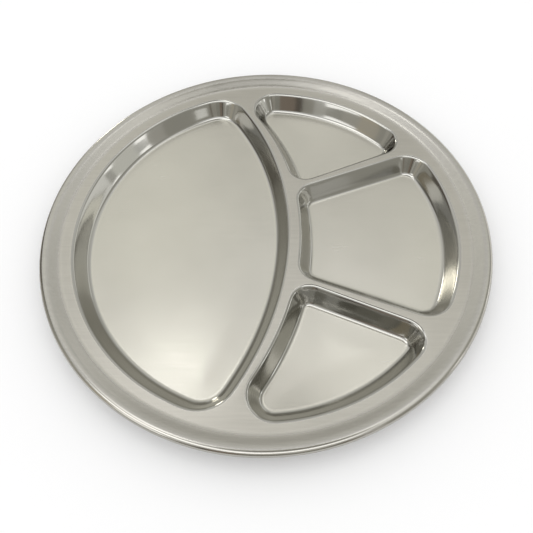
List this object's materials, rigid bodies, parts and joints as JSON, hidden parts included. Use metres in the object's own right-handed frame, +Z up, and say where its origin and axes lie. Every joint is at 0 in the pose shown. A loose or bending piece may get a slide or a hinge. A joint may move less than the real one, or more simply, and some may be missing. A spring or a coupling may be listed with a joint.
{
  "type": "divided serving plate",
  "caption": "Round pressed-metal plate with a wide crescent well, a four-sided well and a mirrored pair of three-sided wells inside a raised, curled rim.",
  "frame": {"origin": "centre of the rim circle, at the underside of the well floors", "axes": "+Z up out of the wells; +X from the crescent well towards the four-sided well; the plate mirrors across Y"},
  "size_m": [0.32, 0.32, 0.0178],
  "materials": {
    "steel": "satin brushed floors, land and rim with polished well walls and bends"
  },
  "bodies": {
    "root": {"pressed_tray": "steel"}
  },
  "joints": []
}
